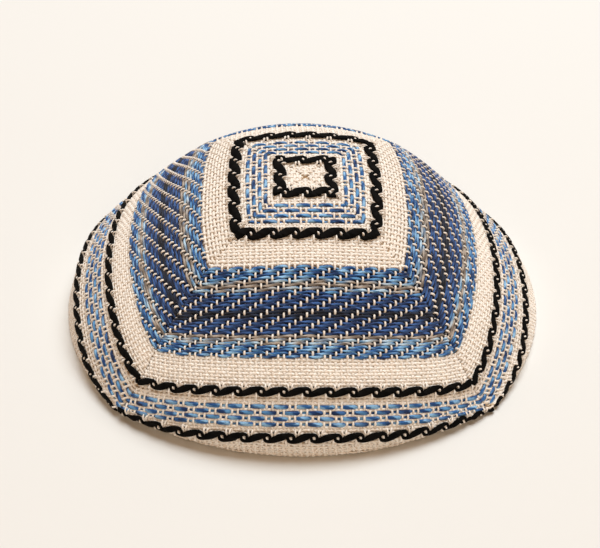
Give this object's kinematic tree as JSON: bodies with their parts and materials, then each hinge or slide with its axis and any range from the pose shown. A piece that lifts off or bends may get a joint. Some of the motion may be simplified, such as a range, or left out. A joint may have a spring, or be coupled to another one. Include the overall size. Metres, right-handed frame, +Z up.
{
  "type": "woven cotton kippah skullcap",
  "caption": "Small round skullcap of four triangular gores of striped woven cotton, sewn to a leaning crown and hemmed at the rim.",
  "frame": {"origin": "centre of the cap's box at the level of the surface that the rim rests on", "axes": "+Z up through the crown, -Y to the front gore, +X to the right gore as the front gore is seen"},
  "size_m": [0.1658, 0.1662, 0.0576],
  "materials": {
    "woven_cotton": "hand-woven cotton, undyed ground with blue, navy, grey and black stripes, matt and slightly fuzzy"
  },
  "bodies": {
    "root": {"front_gore": "woven_cotton", "right_gore": "woven_cotton", "back_gore": "woven_cotton", "left_gore": "woven_cotton"}
  },
  "joints": []
}
